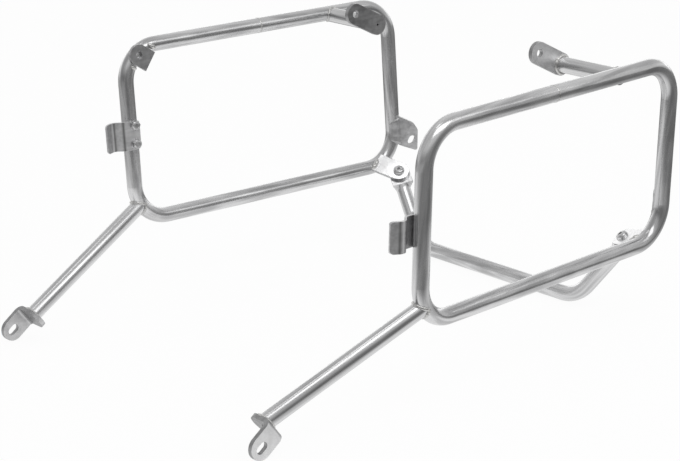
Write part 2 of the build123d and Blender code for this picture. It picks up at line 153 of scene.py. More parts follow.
@dataclass(frozen=True)
class HoopLayout:
    """The left hoop's centre line: a rounded rectangle on a leaning plane."""

    middle: Triple = (-0.089, 0.2405, 0.197)
    length: float = 0.387
    height: float = 0.206
    bend: float = 0.042
    toe: float = math.radians(3.3)
    lean: float = math.radians(3.2)
    tube_radius: float = 0.009
    search_steps: int = 60
    search_halvings: int = 24

    @property
    def origin(self) -> Vector:
        """Return the hoop's middle."""
        return Vector(self.middle)

    @property
    def forward(self) -> Vector:
        """Return the direction along the rails."""
        return Vector((math.cos(self.toe), math.sin(self.toe), 0.0))

    @property
    def inward(self) -> Vector:
        """Return the direction from the hoop's plane towards the bike."""
        return Vector(
            (
                math.sin(self.toe) * math.cos(self.lean),
                -math.cos(self.toe) * math.cos(self.lean),
                math.sin(self.lean),
            )
        )

    @property
    def up(self) -> Vector:
        """Return the direction along the uprights."""
        return self.inward.cross(self.forward)

    def place(self, forward: float, up: float, inward: float = 0.0) -> Vector:
        """Return the place of a point given in the hoop's own directions."""
        return self.origin + self.forward * forward + self.up * up + self.inward * inward

    def clearance(self, point: Vector) -> float:
        """Return how far a point lies outside the tube's skin.

        Args:
            point: A place in the frame of the model, on the left side.

        Returns:
            The distance from the skin, negative inside the tube.
        """
        offset = point - self.origin
        ahead = abs(offset.dot(self.forward))
        above = abs(offset.dot(self.up))
        past_rail = ahead - (self.length / 2 - self.bend)
        past_upright = above - (self.height / 2 - self.bend)
        if past_rail > 0 and past_upright > 0:
            in_plane = math.hypot(past_rail, past_upright) - self.bend
        else:
            in_plane = max(ahead - self.length / 2, above - self.height / 2)
        return math.hypot(in_plane, offset.dot(self.inward)) - self.tube_radius

    def skin(self, start: Vector, end: Vector) -> Vector | None:
        """Return the first place where a line crosses the tube's skin.

        Args:
            start: One end of the line, on the left side.
            end: The other end.

        Returns:
            The crossing nearest to the start, or None if the line doesn't cross.
        """
        before = self.clearance(start)
        for step in range(1, self.search_steps + 1):
            low, high = (step - 1) / self.search_steps, step / self.search_steps
            after = self.clearance(start.lerp(end, high))
            if before * after <= 0:
                for _ in range(self.search_halvings):
                    half = (low + high) / 2
                    if before * self.clearance(start.lerp(end, half)) > 0:
                        low = half
                    else:
                        high = half
                return start.lerp(end, (low + high) / 2)
            before = after
        return None

    def trace(self, lines: Iterable[tuple[Vector, Vector]]) -> list[Vector]:
        """Return the places where lines cross the tube's skin, leaving out lines that miss it.

        Args:
            lines: The two ends of each line, on the left side.

        Returns:
            The first crossing of each line, in order.
        """
        crossings = [self.skin(start, end) for start, end in lines]
        return [place for place in crossings if place is not None]


class NodeSheet:
    """A node tree that is written as short chains of sums."""

    def __init__(self, tree: bpy.types.NodeTree) -> None:
        """Keep the tree that nodes are added to."""
        self.tree = tree

    def add(self, kind: str, **settings: object) -> bpy.types.Node:
        """Add a node and set its properties.

        Args:
            kind: The node's type name.
            settings: Properties of the node.

        Returns:
            The new node.
        """
        node = self.tree.nodes.new(kind)
        for key, value in settings.items():
            setattr(node, key, value)
        return node

    def feed(self, target: Socket, value: object) -> None:
        """Link a socket to a target, or set the target's own value."""
        if isinstance(value, bpy.types.NodeSocket):
            self.tree.links.new(value, target)
        else:
            target.default_value = value

    def sum(self, operation: str, *values: Value, clamp: bool = False) -> Socket:
        """Add a Math node.

        Args:
            operation: The node's operation.
            values: Sockets or numbers, in order.
            clamp: Whether the result is held between 0 and 1.

        Returns:
            The result's socket.
        """
        node = self.add("ShaderNodeMath", operation=operation, use_clamp=clamp)
        for target, value in zip(node.inputs, values):
            self.feed(target, value)
        return node.outputs[0]

    def vector_sum(self, operation: str, *values: object) -> bpy.types.Node:
        """Add a Vector Math node and return it."""
        node = self.add("ShaderNodeVectorMath", operation=operation)
        for target, value in zip(node.inputs, values):
            self.feed(target, value)
        return node

    def dot(self, first: object, second: object) -> Socket:
        """Return the socket of a dot product."""
        return self.vector_sum("DOT_PRODUCT", first, second).outputs["Value"]

    def join(self, x: Value, y: Value, z: Value) -> Socket:
        """Return the socket of a vector made of three values."""
        node = self.add("ShaderNodeCombineXYZ")
        for target, value in zip(node.inputs, (x, y, z)):
            self.feed(target, value)
        return node.outputs[0]

    def span(self, value: Value, low: Value, high: Value, to_low: Value, to_high: Value) -> Socket:
        """Return the socket of a value carried smoothly from one span to another."""
        node = self.add("ShaderNodeMapRange", interpolation_type="SMOOTHSTEP")
        for target, number in zip(node.inputs, (value, low, high, to_low, to_high)):
            self.feed(target, number)
        return node.outputs[0]

    def blend(self, share: Value, first: object, second: object) -> Socket:
        """Return the socket of a colour blended from two."""
        node = self.add("ShaderNodeMix", data_type="RGBA", clamp_factor=True)
        self.feed(node.inputs[0], share)
        self.feed(node.inputs[6], first)
        self.feed(node.inputs[7], second)
        return node.outputs[2]

    def noise(self, vector: object, scale: Value, detail: float = 3.0, rough: float = 0.55) -> Socket:
        """Return the socket of a noise value."""
        node = self.add("ShaderNodeTexNoise", noise_dimensions="3D")
        self.feed(node.inputs["Vector"], vector)
        self.feed(node.inputs["Scale"], scale)
        node.inputs["Detail"].default_value = detail
        node.inputs["Roughness"].default_value = rough
        return node.outputs[0]

    def offset(self, place: object, origin: object) -> Socket:
        """Return the socket of the way from an origin to a place."""
        return self.vector_sum("SUBTRACT", place, origin).outputs[0]

    def squares(self, first: Value, second: Value) -> Socket:
        """Return the socket of two squares added up."""
        return self.sum("MULTIPLY_ADD", first, first, self.sum("MULTIPLY", second, second))

    def fade(self, share: Value, first: Value, second: Value) -> Socket:
        """Return the socket of a value that goes from the first to the second by a share."""
        return self.sum("MULTIPLY_ADD", share, self.sum("SUBTRACT", second, first), first)

    def weighted(self, terms: Iterable[tuple[Socket, float]]) -> Socket:
        """Add up sockets by weight.

        Args:
            terms: Each socket with its weight.

        Returns:
            The total's socket.
        """
        total: Value = 0.0
        for socket, weight in terms:
            total = self.sum("MULTIPLY_ADD", socket, weight, total)
        return total

    def group(self, tree: bpy.types.NodeTree, inputs: dict[str, object]) -> bpy.types.Node:
        """Place a group.

        Args:
            tree: The group.
            inputs: Sockets to link or values to set, by the names of the group's inputs.

        Returns:
            The group's node.
        """
        node = self.add("ShaderNodeGroup", node_tree=tree)
        for name, value in inputs.items():
            self.feed(node.inputs[name], value)
        return node


Lay = Callable[[NodeSheet, Socket], Socket]


def open_material(name: str) -> tuple[bpy.types.Material, NodeSheet, Socket]:
    """Start a material with nothing but its output.

    Args:
        name: The material's name.

    Returns:
        The material, its sheet and the socket that takes its shader.
    """
    material = bpy.data.materials.new(name)
    material.use_nodes = True
    sheet = NodeSheet(material.node_tree)
    sheet.tree.nodes.clear()
    return material, sheet, sheet.add("ShaderNodeOutputMaterial").inputs["Surface"]


class SteelEffects:
    """Shader node groups that the finishes share."""

    def __init__(self) -> None:
        """Build each group once."""
        self.unbent_hoop = self._unbent_hoop()
        self.straight_stock = self._straight_stock()
        self.unbent_leg = self._unbent_leg()
        self.polish_lines = self._polish_lines()
        self.cloud = self._cloud()
        self.scratches = self._scratches()
        self.rubbed_edge = self._rubbed_edge()
        self.weld_halo = self._weld_halo()
        self.fold_shading = self._fold_shading()

    @staticmethod
    def _open(
        name: str,
        vectors: Iterable[str],
        values: dict[str, float],
        outputs: dict[str, str],
    ) -> tuple[NodeSheet, dict[str, Socket], bpy.types.Node]:
        """Start a group.

        Args:
            name: The group's name.
            vectors: The names of its vector inputs.
            values: The defaults of its value inputs, by name.
            outputs: The socket type of each output, by name.

        Returns:
            The sheet, the inner input sockets by name, and the group's output node.
        """
        tree = bpy.data.node_groups.new(name, "ShaderNodeTree")
        for label in vectors:
            tree.interface.new_socket(name=label, in_out="INPUT", socket_type=VECTOR)
        for label, default in values.items():
            socket = tree.interface.new_socket(name=label, in_out="INPUT", socket_type=VALUE)
            socket.default_value = default
        for label, kind in outputs.items():
            tree.interface.new_socket(name=label, in_out="OUTPUT", socket_type=kind)
        sheet = NodeSheet(tree)
        entry = sheet.add("NodeGroupInput")
        leave = sheet.add("NodeGroupOutput")
        return sheet, {socket.name: socket for socket in entry.outputs}, leave

    def _unbent_hoop(self) -> bpy.types.NodeTree:
        """Return the group that lays a hoop's tube out straight."""
        sheet, given, leave = self._open(
            "Unbent Hoop",
            ("Position", "Middle", "Forward", "Up", "Inward"),
            {"Straight Length": 0.15, "Straight Height": 0.06, "Bend": 0.042},
            {"Vector": VECTOR},
        )
        length, height = given["Straight Length"], given["Straight Height"]
        offset = sheet.offset(given["Position"], given["Middle"])
        ahead, above, inward = (sheet.dot(offset, given[way]) for way in ("Forward", "Up", "Inward"))
        far_ahead = sheet.sum("ABSOLUTE", ahead)
        far_above = sheet.sum("ABSOLUTE", above)
        past_rail = sheet.sum("MAXIMUM", sheet.sum("SUBTRACT", far_ahead, length), 0.0)
        past_upright = sheet.sum("MAXIMUM", sheet.sum("SUBTRACT", far_above, height), 0.0)
        turn = sheet.sum("ARCTAN2", past_upright, sheet.sum("ADD", past_rail, NEARLY_ZERO))
        on_upright = sheet.sum("MINIMUM", far_above, height)
        on_rail = sheet.sum("MINIMUM", far_ahead, length)
        along = sheet.sum("MULTIPLY_ADD", turn, given["Bend"], on_upright)
        along = sheet.sum("SUBTRACT", along, on_rail)
        drift = sheet.sum("MULTIPLY", sheet.sum("ADD", ahead, above), LINE_DRIFT)
        reach = sheet.sum("SQRT", sheet.squares(past_rail, past_upright))
        outward = sheet.sum("SUBTRACT", reach, given["Bend"])
        across = sheet.sum("ADD", inward, drift)
        sheet.feed(leave.inputs["Vector"], sheet.join(along, outward, across))
        return sheet.tree

    def _straight_stock(self) -> bpy.types.NodeTree:
        """Return the group that turns places to run along a straight piece of stock."""
        ways = ("Along", "Across", "Facing")
        sheet, given, leave = self._open(
            "Straight Stock", ("Position", "Origin", *ways), {}, {"Vector": VECTOR}
        )
        offset = sheet.offset(given["Position"], given["Origin"])
        turned = sheet.join(*(sheet.dot(offset, given[way]) for way in ways))
        sheet.feed(leave.inputs["Vector"], turned)
        return sheet.tree

    def _unbent_leg(self) -> bpy.types.NodeTree:
        """Return the group that lays a tube with one bend on each side of the middle out straight."""
        sheet, given, leave = self._open(
            "Unbent Leg",
            ("Position", "Bend Centre", "Before", "After", "Outward", "Facing"),
            {"Bend": 0.045, "Turn": 0.9},
            {"Vector": VECTOR},
        )
        parts = sheet.add("ShaderNodeSeparateXYZ")
        sheet.feed(parts.inputs[0], given["Position"])
        x, y, z = parts.outputs
        folded = sheet.join(x, sheet.sum("ABSOLUTE", y), z)
        offset = sheet.offset(folded, given["Bend Centre"])
        before, outward, after, facing = (
            sheet.dot(offset, given[way]) for way in ("Before", "Outward", "After", "Facing")
        )
        turn = sheet.sum("ARCTAN2", before, outward)
        turn = sheet.sum("MINIMUM", sheet.sum("MAXIMUM", turn, 0.0), given["Turn"])
        on_run = sheet.sum("MINIMUM", before, 0.0)
        past_start = sheet.sum("GREATER_THAN", before, 0.0)
        on_leg = sheet.sum("MULTIPLY", sheet.sum("MAXIMUM", after, 0.0), past_start)
        along = sheet.sum("MULTIPLY_ADD", turn, given["Bend"], sheet.sum("ADD", on_run, on_leg))
        drift = sheet.sum("MULTIPLY", y, LINE_DRIFT)
        spent = sheet.squares(on_run, on_leg)
        rest = sheet.sum("SUBTRACT", sheet.squares(before, outward), spent)
        reach = sheet.sum("SQRT", sheet.sum("MAXIMUM", rest, 0.0))
        across = sheet.sum("SUBTRACT", reach, given["Bend"])
        sheet.feed(leave.inputs["Vector"], sheet.join(along, across, sheet.sum("ADD", facing, drift)))
        return sheet.tree

    def _polish_lines(self) -> bpy.types.NodeTree:
        """Return the group of fine polishing lines and broad bands along the stock."""
        sheet, given, leave = self._open(
            "Polishing Lines",
            ("Vector",),
            {"Along Scale": 30.0, "Across Scale": 1200.0, "Contrast": 1.0},
            {"Lines": VALUE, "Bands": VALUE},
        )
        band_share = (0.35, 0.16, 0.16)
        stretch = sheet.join(given["Along Scale"], given["Across Scale"], given["Across Scale"])
        broad_stretch = sheet.vector_sum("MULTIPLY", stretch, band_share).outputs[0]
        fine_place = sheet.vector_sum("MULTIPLY", given["Vector"], stretch).outputs[0]
        broad_place = sheet.vector_sum("MULTIPLY", given["Vector"], broad_stretch).outputs[0]
        fine = sheet.noise(fine_place, scale=1.0, detail=4.0, rough=0.6)
        broad = sheet.noise(broad_place, scale=1.0, detail=2.0, rough=0.5)
        centred = sheet.sum("SUBTRACT", fine, 0.5)
        lines = sheet.sum("MULTIPLY_ADD", centred, given["Contrast"], 0.5, clamp=True)
        sheet.feed(leave.inputs["Lines"], lines)
        sheet.feed(leave.inputs["Bands"], sheet.span(broad, 0.34, 0.66, 0.0, 1.0))
        return sheet.tree

    def _cloud(self) -> bpy.types.NodeTree:
        """Return the group of soft cloudy differences in tone and of finger-sized smudges."""
        sheet, given, leave = self._open(
            "Cloudy Tone", ("Position",), {"Scale": 40.0}, {"Cloud": VALUE, "Smudge": VALUE}
        )
        smudge_share = 0.37
        smudge_scale = sheet.sum("MULTIPLY", given["Scale"], smudge_share)
        cloud = sheet.noise(given["Position"], given["Scale"], detail=4.0, rough=0.6)
        smudge = sheet.noise(given["Position"], smudge_scale, detail=2.0, rough=0.5)
        sheet.feed(leave.inputs["Cloud"], sheet.span(cloud, 0.3, 0.7, 0.0, 1.0))
        sheet.feed(leave.inputs["Smudge"], sheet.span(smudge, 0.56, 0.72, 0.0, 1.0))
        return sheet.tree

    def _scratches(self) -> bpy.types.NodeTree:
        """Return the group of sparse hairline scratches."""
        sheet, given, leave = self._open(
            "Hairline Scratches", ("Position",), {"Scale": 70.0}, {"Scratch": VALUE}
        )
        hairline = 0.018
        masks = []
        for turn, stretch in (((0.4, 1.1, 0.2), (1.0, 7.0, 1.0)), ((1.3, 0.2, 0.9), (6.0, 1.0, 1.0))):
            mapping = sheet.add("ShaderNodeMapping")
            mapping.inputs["Rotation"].default_value = turn
            mapping.inputs["Scale"].default_value = stretch
            sheet.feed(mapping.inputs["Vector"], given["Position"])
            cells = sheet.add("ShaderNodeTexVoronoi", feature="DISTANCE_TO_EDGE")
            sheet.feed(cells.inputs["Vector"], mapping.outputs[0])
            sheet.feed(cells.inputs["Scale"], given["Scale"])
            thin = sheet.span(cells.outputs["Distance"], 0.0, hairline, 1.0, 0.0)
            sparse = sheet.noise(mapping.outputs[0], given["Scale"], detail=1.0)
            patch = sheet.span(sparse, 0.52, 0.62, 0.0, 1.0)
            masks.append(sheet.sum("MULTIPLY", thin, patch))
        sheet.feed(leave.inputs["Scratch"], sheet.sum("MAXIMUM", masks[0], masks[1]))
        return sheet.tree

    def _rubbed_edge(self) -> bpy.types.NodeTree:
        """Return the group that finds cut edges, which are rubbed bright and a little round."""
        sheet, given, leave = self._open(
            "Rubbed Edge", ("Position",), {"Scale": 300.0}, {"Edge": VALUE, "Normal": VECTOR}
        )
        rounding = 0.0006
        rounded = sheet.add("ShaderNodeBevel", samples=6)
        rounded.inputs["Radius"].default_value = rounding
        geometry = sheet.add("ShaderNodeNewGeometry")
        agree = sheet.dot(rounded.outputs[0], geometry.outputs["Normal"])
        edge = sheet.span(agree, 0.995, 0.86, 0.0, 1.0)
        patchy = sheet.noise(given["Position"], given["Scale"], detail=2.0)
        broken = sheet.span(patchy, 0.35, 0.6, 0.35, 1.0)
        sheet.feed(leave.inputs["Edge"], sheet.sum("MULTIPLY", edge, broken))
        sheet.feed(leave.inputs["Normal"], rounded.outputs[0])
        return sheet.tree

    def _fold_shading(self) -> bpy.types.NodeTree:
        """Return the group that masks a line along a fold, on one side of the sheet, where painted shade and
        highlights go.
        """
        sheet, given, leave = self._open(
            "Fold Mark",
            ("Position", "Normal", "Place", "Across", "Facing"),
            {"Half Width": 0.002},
            {"Mark": VALUE},
        )
        offset = sheet.offset(given["Position"], given["Place"])
        away = sheet.sum("ABSOLUTE", sheet.dot(offset, given["Across"]))
        mark = sheet.sum("SUBTRACT", 1.0, sheet.sum("DIVIDE", away, given["Half Width"]), clamp=True)
        side = sheet.span(sheet.dot(given["Normal"], given["Facing"]), 0.0, 0.3, 0.0, 1.0)
        sheet.feed(leave.inputs["Mark"], sheet.sum("MULTIPLY", mark, side))
        return sheet.tree

    def _weld_halo(self) -> bpy.types.NodeTree:
        """Return the group that marks the brushed-off heat ring round a weld."""
        sheet, given, leave = self._open(
            "Weld Halo", ("Position", "Weld"), {"Inner": 0.012, "Outer": 0.03}, {"Halo": VALUE}
        )
        ragged_reach = 0.012
        ragged = sheet.sum("SUBTRACT", sheet.noise(given["Position"], scale=160.0), 0.5)
        distance = sheet.vector_sum("DISTANCE", given["Position"], given["Weld"]).outputs["Value"]
        distance = sheet.sum("ADD", distance, sheet.sum("MULTIPLY", ragged, ragged_reach))
        halo = sheet.span(distance, given["Inner"], given["Outer"], 1.0, 0.0)
        sheet.feed(leave.inputs["Halo"], halo)
        return sheet.tree


@dataclass(frozen=True)
class SteelFinish:
    """One steel finish: its tones, gloss and the strength of each mark on it."""

    name: str
    dark: Triple
    light: Triple
    roughness: float
    roughness_spread: float
    along_scale: float
    across_scale: float
    line_contrast: float
    line_height: float
    cloud_scale: float
    cloud_share: float
    scratch_share: float
    edge_share: float
    halo_share: float = 0.0
    band_share: float = 0.35
    line_share: float = 0.3
    # Painted sheen: a brighter colour that stands in for caught light, with its own roughness, on faces
    # turned towards given directions; how sharply they turn in, and how patchy it is.
    buffed: Triple = (0.94, 0.94, 0.945)
    sheen_roughness: float = 0.2
    sheen_turn: Pair = (0.7, 0.95)
    sheen_patchiness: Pair = (0.2, 0.8)
    # How far the painted shade and highlights along folds cover the colour.
    fold_shading_share: float = 0.85
    cloud_dulling: float = 0.5
    smudge_dulling: float = 0.8
    scratch_dulling: float = 0.3
    halo_dulling: float = 0.35
    line_rise: float = 0.5
    band_rise: float = 0.35
    bump_strength: float = 0.6

    def paint(
        self,
        effects: SteelEffects,
        label: str,
        lay: Lay | None = None,
        welds: Iterable[Vector] = (),
        buffed_sides: Iterable[tuple[Vector, float]] = (),
        folds: Iterable[Fold] = (),
    ) -> bpy.types.Material:
        """Build the finish as a material.

        Args:
            effects: The shared node groups.
            label: What the material is on, added to its name.
            lay: Makes the socket of places laid out along the stock; plain places if None.
            welds: Places of welds that leave a halo.
            buffed_sides: The directions of the sides that get a painted sheen, a brighter colour standing in
                for the light they catch, with a set roughness, each with its share.
            folds: Painted shade and highlights along folds: a place on each fold's line, the directions
                across it and out of its side, and its grey.

        Returns:
            The material.
        """
        material, sheet, surface = open_material(f"{self.name} {label}")
        shader = sheet.add("ShaderNodeBsdfPrincipled")
        sheet.feed(surface, shader.outputs[0])
        shader.inputs["Metallic"].default_value = 1.0
        place = sheet.add("ShaderNodeTexCoord").outputs["Object"]
        normal = sheet.add("ShaderNodeNewGeometry").outputs["Normal"]

        lines = sheet.group(
            effects.polish_lines,
            {
                "Vector": lay(sheet, place) if lay else place,
                "Along Scale": self.along_scale,
                "Across Scale": self.across_scale,
                "Contrast": self.line_contrast,
            },
        ).outputs
        cloud = sheet.group(effects.cloud, {"Position": place, "Scale": self.cloud_scale}).outputs
        scratch = sheet.group(effects.scratches, {"Position": place}).outputs["Scratch"]
        edge = sheet.group(effects.rubbed_edge, {"Position": place}).outputs
        halos = []
        for weld in welds:
            halo = sheet.group(effects.weld_halo, {"Position": place, "Weld": weld})
            halos.append(halo.outputs["Halo"])

        tone = sheet.weighted(
            [
                (cloud["Cloud"], self.cloud_share),
                (lines["Bands"], self.band_share),
                (lines["Lines"], self.line_share),
                (edge["Edge"], self.edge_share),
                *((halo, self.halo_share) for halo in halos),
            ]
        )
        colour = sheet.blend(tone, (*self.dark, 1.0), (*self.light, 1.0))
        rough = sheet.weighted(
            [
                (lines["Lines"], self.roughness_spread),
                (cloud["Cloud"], self.roughness_spread * self.cloud_dulling),
                (cloud["Smudge"], self.roughness_spread * self.smudge_dulling),
                (scratch, self.scratch_share * self.scratch_dulling),
                *((halo, self.halo_share * self.halo_dulling) for halo in halos),
            ]
        )
        rough = sheet.sum("ADD", rough, self.roughness, clamp=True)
        # Painted shade and highlights along folds: a line on one side of each fold is blended towards its
        # grey, dark for shade and light for a highlight.
        for spot, across, side, grey in folds:
            fold = sheet.group(
                effects.fold_shading,
                {"Position": place, "Normal": normal, "Place": spot, "Across": across, "Facing": side},
            )
            mark = sheet.sum("MULTIPLY", fold.outputs["Mark"], self.fold_shading_share)
            colour = sheet.blend(mark, colour, (grey, grey, grey, 1.0))
        # Painted sheen: faces turned towards each given direction are blended, in cloudy patches, towards a
        # brighter colour that stands in for the light they catch, and take its roughness.
        for direction, share in buffed_sides:
            facing = sheet.span(sheet.dot(normal, direction.normalized()), *self.sheen_turn, 0.0, share)
            patchiness = sheet.sum("MULTIPLY_ADD", cloud["Cloud"], *self.sheen_patchiness)
            sheen_mask = sheet.sum("MULTIPLY", facing, patchiness)
            colour = sheet.blend(sheen_mask, colour, (*self.buffed, 1.0))
            rough = sheet.fade(sheen_mask, rough, self.sheen_roughness)
        sheet.feed(shader.inputs["Base Color"], colour)
        sheet.feed(shader.inputs["Roughness"], rough)

        height = sheet.weighted(
            [
                (lines["Lines"], self.line_rise),
                (lines["Bands"], self.band_rise),
                (scratch, -self.scratch_share),
            ]
        )
        bump = sheet.add("ShaderNodeBump")
        bump.inputs["Strength"].default_value = self.bump_strength
        bump.inputs["Distance"].default_value = self.line_height
        sheet.feed(bump.inputs["Height"], height)
        sheet.feed(bump.inputs["Normal"], edge["Normal"])
        sheet.feed(shader.inputs["Normal"], bump.outputs[0])
        return material


POLISHED_TUBE = SteelFinish(
    name="Polished tube steel",
    dark=(0.42, 0.42, 0.425),
    light=(0.73, 0.73, 0.735),
    roughness=0.16,
    roughness_spread=0.07,
    along_scale=14.0,
    across_scale=1100.0,
    line_contrast=1.0,
    line_height=0.00002,
    cloud_scale=34.0,
    cloud_share=0.15,
    scratch_share=0.25,
    edge_share=0.25,
    halo_share=0.12,
    band_share=0.75,
)
CUT_PLATE = SteelFinish(
    name="Cut plate steel",
    dark=(0.34, 0.34, 0.345),
    light=(0.6, 0.6, 0.605),
    roughness=0.28,
    roughness_spread=0.12,
    along_scale=90.0,
    across_scale=1500.0,
    line_contrast=1.1,
    line_height=0.00003,
    cloud_scale=120.0,
    cloud_share=0.45,
    scratch_share=0.5,
    edge_share=0.6,
    halo_share=0.2,
)
# Both plate finishes carry a brighter colour for a painted sheen on faces turned towards the light.
DULL_PLATE = replace(
    CUT_PLATE,
    name="Dull plate steel",
    dark=(0.24, 0.24, 0.243),
    light=(0.48, 0.48, 0.484),
    buffed=(0.88, 0.88, 0.885),
    sheen_roughness=0.45,
)
BRIGHT_PLATE = replace(
    CUT_PLATE,
    name="Bright plate steel",
    dark=(0.22, 0.22, 0.223),
    light=(0.42, 0.42, 0.424),
    buffed=(0.86, 0.86, 0.865),
    sheen_roughness=0.45,
)
FOLDED_SHEET = SteelFinish(
    name="Folded sheet steel",
    dark=(0.5, 0.5, 0.505),
    light=(0.8, 0.8, 0.805),
    roughness=0.36,
    roughness_spread=0.08,
    along_scale=70.0,
    across_scale=1700.0,
    line_contrast=1.2,
    line_height=0.00003,
    cloud_scale=90.0,
    cloud_share=0.4,
    scratch_share=0.4,
    edge_share=0.6,
)
TURNED_FASTENER = SteelFinish(
    name="Turned fastener steel",
    dark=(0.42, 0.42, 0.425),
    light=(0.72, 0.72, 0.725),
    roughness=0.18,
    roughness_spread=0.08,
    along_scale=400.0,
    across_scale=2600.0,
    line_contrast=1.0,
    line_height=0.00001,
    cloud_scale=260.0,
    cloud_share=0.4,
    scratch_share=0.3,
    edge_share=0.5,
)
WELD_METAL = SteelFinish(
    name="Weld metal",
    dark=(0.4, 0.4, 0.4),
    light=(0.74, 0.735, 0.72),
    roughness=0.2,
    roughness_spread=0.16,
    along_scale=500.0,
    across_scale=500.0,
    line_contrast=0.8,
    line_height=0.00006,
    cloud_scale=420.0,
    cloud_share=0.7,
    scratch_share=0.0,
    edge_share=0.0,
)


@dataclass
class Forge:
    """Makes pieces and hands them to the frame."""

    effects: SteelEffects
    made: list[str] = field(default_factory=list)

    def piece(
        self,
        name: str,
        points: list[Vector],
        faces: Faces,
        slot: Slot,
        material: bpy.types.Material,
        smooth: bool = True,
    ) -> bpy.types.Object:
        """Make one piece that rides on the frame.

        Args:
            name: The piece's name.
            points: Its vertices.
            faces: Its faces, by vertex number.
            slot: The record's slot named for the piece; not used.
            material: Its material.
            smooth: Whether its faces are shaded smooth.

        Returns:
            The new object.
        """
        mesh = bpy.data.meshes.new(name)
        mesh.from_pydata([tuple(point) for point in points], [], faces)
        mesh.materials.append(material)
        mesh.validate()
        if smooth:
            mesh.polygons.foreach_set("use_smooth", [True] * len(mesh.polygons))
        mesh.update()
        thing = stand(name, mesh)
        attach(thing, "root")
        self.made.append(name)
        LOG.info("%s: %d faces", name, len(mesh.polygons))
        return thing

    def cover(self, node: str, material: bpy.types.Material) -> None:
        """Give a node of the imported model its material."""
        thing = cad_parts[node]
        thing.data.materials.clear()
        thing.data.materials.append(material)
        LOG.info("%s: %s", node, material.name)

    def finish(self, node: str, finish: SteelFinish, **marks: object) -> None:
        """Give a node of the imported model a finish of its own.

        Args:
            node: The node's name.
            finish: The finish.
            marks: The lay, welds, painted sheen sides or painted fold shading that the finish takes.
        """
        self.cover(node, finish.paint(self.effects, node.replace("_", " "), **marks))


@dataclass
class WeldRun:
    """A weld bead: a row of overlapping ripples laid along a path."""

    name: str
    path: list[Vector]
    kind: Bead
    closed: bool = False
    seed: int = 1
    around: int = 12
    rings_per_ripple: int = 5
    first_side: Triple = (0.3, 0.5, 0.81)
    ripple_low: float = 0.86
    ripple_rise: float = 0.2
    end_ripples: float = 1.4
    end_least: float = 0.02

    def _stations(self) -> list[Vector]:
        """Return points spaced evenly along the path."""
        corners = self.path + [self.path[0]] if self.closed else self.path
        spans = [(end - start).length for start, end in zip(corners, corners[1:])]
        total = sum(spans)
        ripples = max(2, round(total / self.kind.pitch))
        count = ripples * self.rings_per_ripple
        wanted = [total * index / count for index in range(count if self.closed else count + 1)]
        stations, walked, leg = [], 0.0, 0
        for distance in wanted:
            while leg < len(spans) - 1 and walked + spans[leg] < distance:
                walked += spans[leg]
                leg += 1
            share = (distance - walked) / spans[leg] if spans[leg] else 0.0
            stations.append(corners[leg].lerp(corners[leg + 1], min(1.0, share)))
        return stations

    def build(self, forge: Forge, material: bpy.types.Material) -> bpy.types.Object:
        """Make the bead's mesh.

        Args:
            forge: Makes the piece.
            material: The weld metal.

        Returns:
            The bead.
        """
        stations = self._stations()
        chance = random.Random(self.seed)
        count = len(stations)
        ripples = count // self.rings_per_ripple
        swell = [1.0 + chance.uniform(-1, 1) * self.kind.unevenness for _ in range(ripples + 2)]
        points: list[Vector] = []
        side = Vector(self.first_side)
        for index, middle in enumerate(stations):
            ahead = stations[(index + 1) % count] if self.closed or index < count - 1 else middle
            behind = stations[index - 1] if self.closed or index else middle
            run = (ahead - behind).normalized()
            side = (side - run * side.dot(run)).normalized()
            ripple, phase = divmod(index, self.rings_per_ripple)
            phase /= self.rings_per_ripple
            following = swell[(ripple + 1) % ripples if self.closed else ripple + 1]
            size = swell[ripple] * (1 - phase) + following * phase
            radius = self.kind.radius * size * (self.ripple_low + self.ripple_rise * math.sqrt(1 - phase))
            if not self.closed:
                edge = min(index, count - 1 - index) / (self.end_ripples * self.rings_per_ripple)
                radius *= math.sqrt(max(self.end_least, min(1.0, edge)))
            points.extend(middle + way * radius for way in circle(side, run.cross(side), self.around))
        faces = tube_faces(count, self.around, self.closed)
        return forge.piece(self.name, points, faces, Slot.TUBE, material)


def lay_welds(runs: Iterable[WeldRun], side: Side, forge: Forge, weld: bpy.types.Material) -> None:
    """Carry welds of the left side over to the given side and make them.

    Args:
        runs: The welds, as they lie on the left side.
        side: The side that they are made on.
        forge: Makes the pieces.
        weld: The weld metal.
    """
    for run in runs:
        run.path = [mirrored(point, side) for point in run.path]
        run.seed += 100 * side.value
        run.build(forge, weld)


